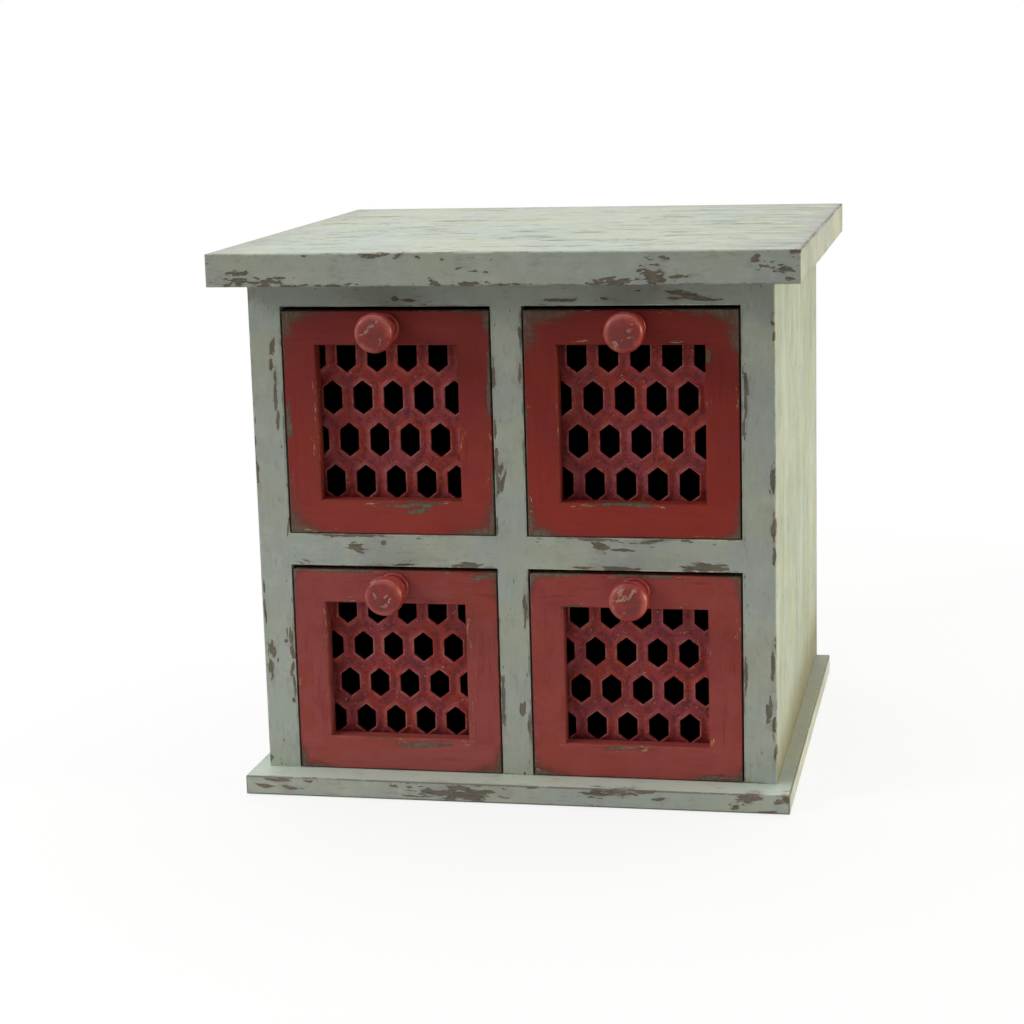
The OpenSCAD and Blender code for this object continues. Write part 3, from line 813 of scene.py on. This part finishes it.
def buildLattice(drawer, low, high):
    sizes = latticeSizes
    (left, bottom), (right, top) = windowOf(drawer)
    middle = (left + right) / 2
    reach = sizes["borderSet"]
    field = (left - reach, bottom - reach, right + reach, top + reach)
    rowPitch = (top - bottom) / sizes["rowsSeen"]
    tile = latticeTile(rowPitch, low.y, high.y)

    bm = bmesh.new()
    columns = math.ceil((field[2] - field[0]) / sizes["pitch"] / 2) + 1
    for row in range(-1, math.ceil(sizes["rowsSeen"]) + 2):
        for column in range(-columns, columns + 1):
            half = 0.5 if row % 2 == 0 else 0.0
            x = middle + sizes["shift"][drawer] + (column + half) * sizes["pitch"]
            z = bottom + (sizes["firstRow"] + row) * rowPitch
            copy = tile.copy()
            copy.transform(Matrix.Translation((x, 0, z)))
            bm.from_mesh(copy)
            bpy.data.meshes.remove(copy)
    bpy.data.meshes.remove(tile)
    bmesh.ops.remove_doubles(bm, verts=bm.verts, dist=0.01)

    cuts = [((field[0], 0, 0), (-1, 0, 0)), ((field[2], 0, 0), (1, 0, 0)),
            ((0, 0, field[1]), (0, 0, -1)), ((0, 0, field[3]), (0, 0, 1))]
    for point, outward in cuts:
        made = bmesh.ops.bisect_plane(bm, geom=everything(bm), plane_co=point, plane_no=outward,
                                      clear_outer=True)
        rim = [part for part in made["geom_cut"] if isinstance(part, bmesh.types.BMEdge)]
        bmesh.ops.edgenet_fill(bm, edges=rim)
    sheet = (low.x, low.z, high.x, high.z)
    border = [rectangle(bm, *sheet, low.y), rectangle(bm, *field, low.y),
              rectangle(bm, *field, high.y), rectangle(bm, *sheet, high.y)]
    bridge(bm, *border, border[0])
    bmesh.ops.recalc_face_normals(bm, faces=bm.faces)
    return pieceFrom(inMetres(bm), drawer + "_lattice_sheet", 32)


def latticePaint(name, front, seed):
    look = latticeLook
    material, place = newMaterial(name)
    y = split(place)[1]
    tone = mixColour(smooth(noise(place, 0.06, seed, 4.0), 0.4, 0.6),
                     look["paintWarm"], look["paintCool"])
    # thicker on the ridges, dark in the low ground
    thin = noise(place, 0.2, seed + 1, 5.0, 0.6)
    raised = smooth(y, front + latticeSizes["rimHeight"] * 0.8, front + 0.1)
    tone = tint(tone, times(raised, smooth(thin, 0.46, 0.6)), 0.34, look["raised"])
    ground = smooth(y, front + 0.45, front + 0.72)
    tone = tint(tone, times(ground, smooth(thin, 0.54, 0.42)), 0.55, look["ground"])
    # grime, bare patches and pale specks
    fine = noise(place, 0.45, seed + 2, 6.0, 0.66, 0.3)
    tone = tint(tone, smooth(fine, 0.46, 0.3), 0.6, look["grime"])
    tone = tint(tone, smooth(fine, 0.58, 0.66), 0.5, look["bare"])
    speck = noise(place, 0.8, seed + 3, 5.0, 0.66, 0.5)
    tone = tint(tone, smooth(speck, 0.65, 0.68), 0.85, look["speck"])
    # crests rubbed pale here and there
    crest = times(smooth(y, front + 0.06, front + 0.01), smooth(thin, 0.44, 0.56))
    tone = tint(tone, crest, 0.42, look["crest"])
    # thin broken lines: pale at the foot of the ridges, dark in the low ground
    dashes = noise(place, 0.34, seed + 6, 5.0, 0.7)
    outward = addNode(material.node_tree, "ShaderNodeNewGeometry").outputs["Normal"]
    foot = times(smooth(y, front + 0.28, front + 0.36), smooth(y, front + 0.56, front + 0.46),
                 smooth(absolute(split(outward)[1]), 0.6, 0.8))
    tone = tint(tone, times(foot, smooth(dashes, 0.51, 0.62)), 0.4, look["foot"])
    groove = times(smooth(y, front + 0.66, front + 0.76), smooth(dashes, 0.46, 0.38))
    tone = tint(tone, groove, 0.6, look["groove"])
    tone = mixColour(smooth(y, front + 1.6, front + 2.4), tone, look["behind"])
    height = timesPlus(fine, 0.8, thin)
    return finishMaterial(material, tone, look["roughness"], height, 0.35, look["gloss"])


def makeLattices():
    for count, drawer in enumerate(drawerNames):
        node = drawer + "_lattice"
        low, high = boxOf(node)
        material = latticePaint("lattice_red_" + drawer, low.y, 40.0 + 2 * count)
        fitPiece(buildLattice(drawer, low, high), drawer + "_drawer", node, material)


# Knobs: an outline spun round the line of the screw.

knobSizes = {              # mm
    "head": 9.0,
    "foot": 7.4,
    "collar": 6.2,
    "groove": 5.6,
    "neck": 5.0,
    "footRound": 1.1,
    "collarRound": 0.9,
    "neckRound": 1.2,
    "faceRound": 3.2,
    "backRound": 4.0,
    "dome": 1.4,
    # how far from the front each part lies
    "grooveStart": 2.2,
    "grooveEnd": 3.0,
    "collarMiddle": 3.9,
    "neckStart": 6.2,
    "stem": 13.0,
    "faceMiddle": 18.3,
    "length": 22.0,
    "bore": 1.6,
    "boreDepth": 12.0,
    "steps": 64,
}
knobLook = {
    "paintDark": colour(144, 38, 34),
    "paintLight": colour(160, 52, 45),
    "grime": colour(112, 54, 44),
    # painted reflection, darker, in the middle of the face; its paler round is a painted highlight
    "middle": colour(106, 44, 38),
    "paintedHighlight": colour(198, 112, 100),
    "flakeDark": colour(186, 116, 102),
    "flakeLight": colour(220, 172, 150),
    "deep": colour(112, 78, 56),
    "roughness": 0.36,
    "gloss": 0.36,
    "coat": {"Coat Weight": 0.05, "Coat Roughness": 0.12},
}
# flakes on each face, from its middle in mm and degrees: across, up, half length, half width, tilt
knobFlakes = {
    "upper_left": [(-0.6, 3.4, 1.9, 0.9, 40), (-2.6, 1.2, 1.8, 0.7, 38), (2.2, 5.6, 1, 0.6, 50),
                   (3.4, -3.4, 1.3, 0.5, 80), (1.4, -7, 1.2, 0.5, 0), (-5.3, -0.4, 0.9, 0.6, 20)],
    "upper_right": [(3, 0.8, 1.4, 1.1, 70), (3.6, -1.6, 1.9, 0.5, 15), (-3.4, -4.2, 1.5, 1.2, -30),
                    (-3, -6.2, 1.9, 0.9, -35), (4, 4.1, 0.6, 0.5, 0), (-0.4, -3, 1, 0.4, 50)],
    "lower_left": [(-3.4, 1.1, 1.5, 0.5, -65), (1.4, 0.6, 1.3, 0.7, 50), (3.2, -1.2, 1.3, 0.6, 60),
                   (1, -3.4, 1.7, 0.8, 5), (-3.6, 7.4, 2.6, 0.8, 30), (2.2, -3.4, 1, 0.7, 20)],
    "lower_right": [(-3, 4.6, 2.1, 1.2, 75), (-1, 2.2, 1.6, 1.2, 20), (-2.4, 1.2, 2.6, 0.8, 8),
                    (2.6, 5, 2.4, 0.9, 52), (3.8, 6, 1.3, 0.8, 40), (-6.7, 0.9, 0.8, 0.7, 80),
                    (-6.2, -2.2, 1, 0.6, 70), (-1.8, -4.6, 0.8, 0.6, 0)],
}


def arc(centreR, centreY, radius, start, end, steps=6):
    # start and end in degrees: 0 points outwards, 90 towards the face
    turns = [math.radians(start + (end - start) * i / steps) for i in range(steps + 1)]
    return [(centreR + radius * math.cos(t), centreY + radius * math.sin(t)) for t in turns]


def knobOutline():
    # radius and distance from the front, from the bore round to the middle of the face
    s = knobSizes
    domeRadius = (s["head"] ** 2 + s["dome"] ** 2) / (2 * s["dome"])
    faceAngle = math.degrees(math.acos((s["head"] - s["faceRound"] * 0.75) / domeRadius))
    footEdge = s["foot"] - s["footRound"]
    points = [(0.0, s["boreDepth"]), (s["bore"], s["boreDepth"]), (s["bore"], 0.0), (footEdge, 0.0)]
    points += arc(footEdge, s["footRound"], s["footRound"], -80, 90)
    points += [(s["groove"], s["grooveStart"]), (s["groove"], s["grooveEnd"])]
    points += arc(s["collar"] - s["collarRound"], s["collarMiddle"], s["collarRound"], -80, 90)
    points += arc(s["neck"] + s["neckRound"], s["neckStart"], s["neckRound"], 250, 180, 4)
    points += [(s["neck"], s["stem"] - 1.4)]
    points += arc(s["head"] - s["backRound"], s["stem"] + s["backRound"], s["backRound"], -86, 0, 8)
    points += arc(s["head"] - s["faceRound"], s["faceMiddle"], s["faceRound"], 0, 62, 8)
    points += arc(0.0, s["length"] - domeRadius, domeRadius, faceAngle, 90, 8)
    return points


def buildKnob(drawer, centre):
    bm = bmesh.new()
    verts = [bm.verts.new(centre + Vector((radius, -out, 0))) for radius, out in knobOutline()]
    edges = [bm.edges.new(pair) for pair in zip(verts, verts[1:])]
    bmesh.ops.spin(bm, geom=verts + edges, cent=centre, axis=(0, 1, 0), angle=math.tau,
                   steps=knobSizes["steps"], use_merge=True)
    bmesh.ops.remove_doubles(bm, verts=bm.verts, dist=0.005)
    bmesh.ops.recalc_face_normals(bm, faces=bm.faces)
    return pieceFrom(inMetres(bm), drawer + "_turned_knob", 35)


def knobPaint(name, centre, flakes, seed):
    look = knobLook
    length = knobSizes["length"]
    material, place = newMaterial(name)
    broad = noise(place, 0.1, seed, 4.0)
    tone = mixColour(smooth(broad, 0.38, 0.62), look["paintDark"], look["paintLight"])
    grime = noise(place, 0.3, seed + 1, 5.0, 0.65)
    tone = tint(tone, smooth(grime, 0.5, 0.36), 0.5, look["grime"])
    # painted reflection and highlight: the middle of the face is darker and its round is paler
    x, y, z = split(vectorCalc("SUBTRACT", place, tuple(centre)))
    away = calc("SQRT", timesPlus(x, x, times(z, z)))
    middle = times(smooth(away, 7.6, 4.8), smooth(y, 2.5 - length, -length))
    tone = tint(tone, times(middle, smooth(grime, 0.66, 0.4)), 0.7, look["middle"])
    paintedHighlight = times(smooth(away, 5.6, 7.2), smooth(away, 8.9, 8.2),
                   smooth(y, 4.6 - length, 3.4 - length), smooth(broad, 0.4, 0.58))
    tone = tint(tone, paintedHighlight, 0.4, look["paintedHighlight"])
    # flakes, with pits down to the wood
    spots = [(centre.x + across, centre.z + up, *rest) for across, up, *rest in flakes]
    torn = noise(place, 0.5, seed + 3, 6.0, 0.62, 0.4)
    depth = timesPlus(minus(torn, 0.52), 5.0, spotMask(place, spots, centre.y - length, 6.0))
    chip = smooth(depth, 0.0, 0.22)
    pits = noise(place, 0.7, seed + 2, 4.0, 0.6)
    flake = mixColour(smooth(pits, 0.4, 0.56), look["flakeDark"], look["flakeLight"])
    tone = tint(tone, chip, 0.85, flake)
    deep = times(smooth(depth, 0.15, 0.35), smooth(pits, 0.5, 0.56))
    tone = tint(tone, deep, 0.8, look["deep"])
    rough = timesPlus(chip, 0.3, look["roughness"])
    height = timesPlus(chip, -0.6, times(grime, 0.5))
    return finishMaterial(material, tone, rough, height, 0.35, look["gloss"], **look["coat"])


def makeKnobs():
    for count, drawer in enumerate(drawerNames):
        node = drawer + "_knob"
        low, high = boxOf(node)
        centre = Vector(((low.x + high.x) / 2, high.y, (low.z + high.z) / 2))
        material = knobPaint("knob_red_" + drawer, centre, knobFlakes[drawer], 60.0 + 4 * count)
        fitPiece(buildKnob(drawer, centre), drawer + "_drawer", node, material)


# Drawer boxes, back and fasteners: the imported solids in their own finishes.

stainLook = {"dark": colour(68, 57, 47), "light": colour(96, 81, 66), "worn": colour(112, 94, 74)}
hardboardLook = {"dark": colour(108, 80, 56), "light": colour(140, 108, 78),
                 "cloud": colour(104, 78, 56)}
zincLook = {"dark": colour(172, 174, 172), "light": colour(206, 206, 198)}


def darkStain():
    look = stainLook
    material, place = newMaterial("dark_stain")
    grain = noise(place, (0.8, 0.08, 0.8), 80.0, 5.0, 0.62)
    tone = mixColour(smooth(grain, 0.35, 0.65), look["dark"], look["light"])
    wear = noise(place, 0.15, 81.0, 4.0)
    tone = tint(tone, smooth(wear, 0.55, 0.7), 0.3, look["worn"])
    return finishMaterial(material, tone, timesPlus(grain, 0.25, 0.6), grain, 0.15)


def hardboard():
    look = hardboardLook
    material, place = newMaterial("hardboard")
    fibre = noise(place, 1.8, 85.0, 6.0, 0.75)
    tone = mixColour(smooth(fibre, 0.35, 0.65), look["dark"], look["light"])
    cloud = noise(place, 0.02, 86.0)
    tone = tint(tone, smooth(cloud, 0.45, 0.65), 0.35, look["cloud"])
    return finishMaterial(material, tone, timesPlus(fibre, 0.3, 0.45), fibre, 0.06)


def zinc():
    look = zincLook
    material, place = newMaterial("zinc")
    cloud = noise(place, 0.8, 90.0, 4.0)
    tone = mixColour(cloud, look["dark"], look["light"])
    return finishMaterial(material, tone, timesPlus(cloud, 0.2, 0.26), cloud, 0.05, Metallic=1.0)


def dress(name, material):
    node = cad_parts[name]
    node.data.materials.clear()
    node.data.materials.append(material)


def finishHidden():
    stain, board, metal = darkStain(), hardboard(), zinc()
    for drawer in drawerNames:
        for part in ("_left_side", "_right_side", "_box_back", "_bottom"):
            dress(drawer + part, stain)
        dress(drawer + "_knob_screw", metal)
    dress("back_panel", board)
    for name in ("base_screws", "top_screws", "back_pins"):
        dress(name, metal)


# Camera, lamps and floor.

view = {                   # metres and degrees
    "place": (0.2177, -1.1458, 0.3456),
    "turn": 11.9,
    "down": 11.39,
    "roll": -1.59,
    "lens": 83.34,
    "sensor": 36.0,
}
suns = {                   # softness, and the turns from overhead to right and back, in degrees
    "overheadSun": {"strength": 2.32, "softness": 90, "right": 0, "back": 23, "tone": (1, 1, 1)},
    "sideSun": {"strength": 1.97, "softness": 16, "right": 83, "back": 8,
                "tone": (0.99, 0.93, 0.66)},
    "frontSun": {"strength": 0.38, "softness": 60, "right": -24, "back": -48, "tone": (1, 1, 1)},
}
windowLight = {            # watts and metres
    "power": 7.4,
    "size": 0.4,
    "place": (-1.3, -0.75, 0.86),
    "aim": (0, -0.11, 0.15),
}
worldLevel = 0.08          # what the white world gives as light
floorLook = {
    "radius": 0.5,
    "below": 0.0004,       # metres under the base, so that the two never share a plane
    "colour": (0.85, 0.85, 0.85, 1),
    "roughness": 0.9,
    "gloss": 0.1,
    "glow": 0.8,
}
white = (1, 1, 1, 1)


def setCamera():
    camera = bpy.data.cameras.new("camera")
    camera.lens = view["lens"]
    camera.sensor_width = view["sensor"]
    seat = bpy.data.objects.new("camera", camera)
    seat.matrix_world = Matrix.Translation(view["place"])
    for angle, axis in ((view["turn"], "Z"), (90 - view["down"], "X"), (view["roll"], "Z")):
        seat.matrix_world = seat.matrix_world @ Matrix.Rotation(math.radians(angle), 4, axis)
    bpy.context.scene.collection.objects.link(seat)
    bpy.context.scene.camera = seat


def addSun(name, strength, softness, right, back, tone):
    sun = bpy.data.lights.new(name, "SUN")
    sun.energy = strength
    sun.angle = math.radians(softness)
    sun.color = tone
    holder = bpy.data.objects.new(name, sun)
    holder.matrix_world = (Matrix.Rotation(math.radians(-back), 4, "X")
                           @ Matrix.Rotation(math.radians(right), 4, "Y"))
    bpy.context.scene.collection.objects.link(holder)


def addWindow():
    # a soft lamp from the upper left, for the highlights and shadows of the knobs
    lamp = bpy.data.lights.new("windowLamp", "AREA")
    lamp.energy = windowLight["power"]
    lamp.size = windowLight["size"]
    holder = bpy.data.objects.new("windowLamp", lamp)
    spot = Vector(windowLight["place"])
    turn = (Vector(windowLight["aim"]) - spot).to_track_quat("-Z", "Y")
    holder.matrix_world = Matrix.Translation(spot) @ turn.to_matrix().to_4x4()
    bpy.context.scene.collection.objects.link(holder)


def seenDirectly(tree):
    # 1 for what the camera, a reflection or clear glass shows, 0 for light that falls on things
    rays = addNode(tree, "ShaderNodeLightPath").outputs
    return larger(rays["Is Camera Ray"], larger(rays["Is Glossy Ray"], rays["Is Transmission Ray"]))


def setLight():
    world = bpy.data.worlds.new("studio")
    bpy.context.scene.world = world
    tree = emptyTree(world)
    strength = timesPlus(seenDirectly(tree), 1.0 - worldLevel, worldLevel)
    back = addNode(tree, "ShaderNodeBackground", {"Color": white, "Strength": strength})
    addNode(tree, "ShaderNodeOutputWorld", {"Surface": back.outputs[0]})
    for name, sun in suns.items():
        addSun(name, **sun)
    addWindow()


def layFloor():
    # looks white where it is seen, and still takes the object's shadow
    look = floorLook
    bm = bmesh.new()
    bmesh.ops.create_circle(bm, cap_ends=True, segments=96, radius=look["radius"])
    floor = pieceFrom(bm, "floor")
    floor.location.z = -look["below"]
    material = bpy.data.materials.new("floor")
    tree = emptyTree(material)
    real = addNode(tree, "ShaderNodeBsdfPrincipled", {
        "Base Color": look["colour"], "Roughness": look["roughness"],
        "Specular IOR Level": look["gloss"]})
    pale = addNode(tree, "ShaderNodeBsdfDiffuse", {"Color": white})
    glow = addNode(tree, "ShaderNodeEmission", {"Color": white, "Strength": 1.0})
    soft = addNode(tree, "ShaderNodeMixShader",
                   {0: look["glow"], 1: pale.outputs[0], 2: glow.outputs[0]})
    both = addNode(tree, "ShaderNodeMixShader",
                   {0: seenDirectly(tree), 1: real.outputs[0], 2: soft.outputs[0]})
    addNode(tree, "ShaderNodeOutputMaterial", {"Surface": both.outputs[0]})
    floor.data.materials.append(material)


bpy.context.scene.view_settings.view_transform = "Standard"
setCamera()
setLight()
layFloor()
print("stage: camera, light and floor")
finishBoards()
print("stage: case boards painted")
finishFronts()
print("stage: drawer fronts painted")
makeLattices()
print("stage: lattices")
makeKnobs()
print("stage: knobs")
finishHidden()
print("stage: inside, back and fasteners")
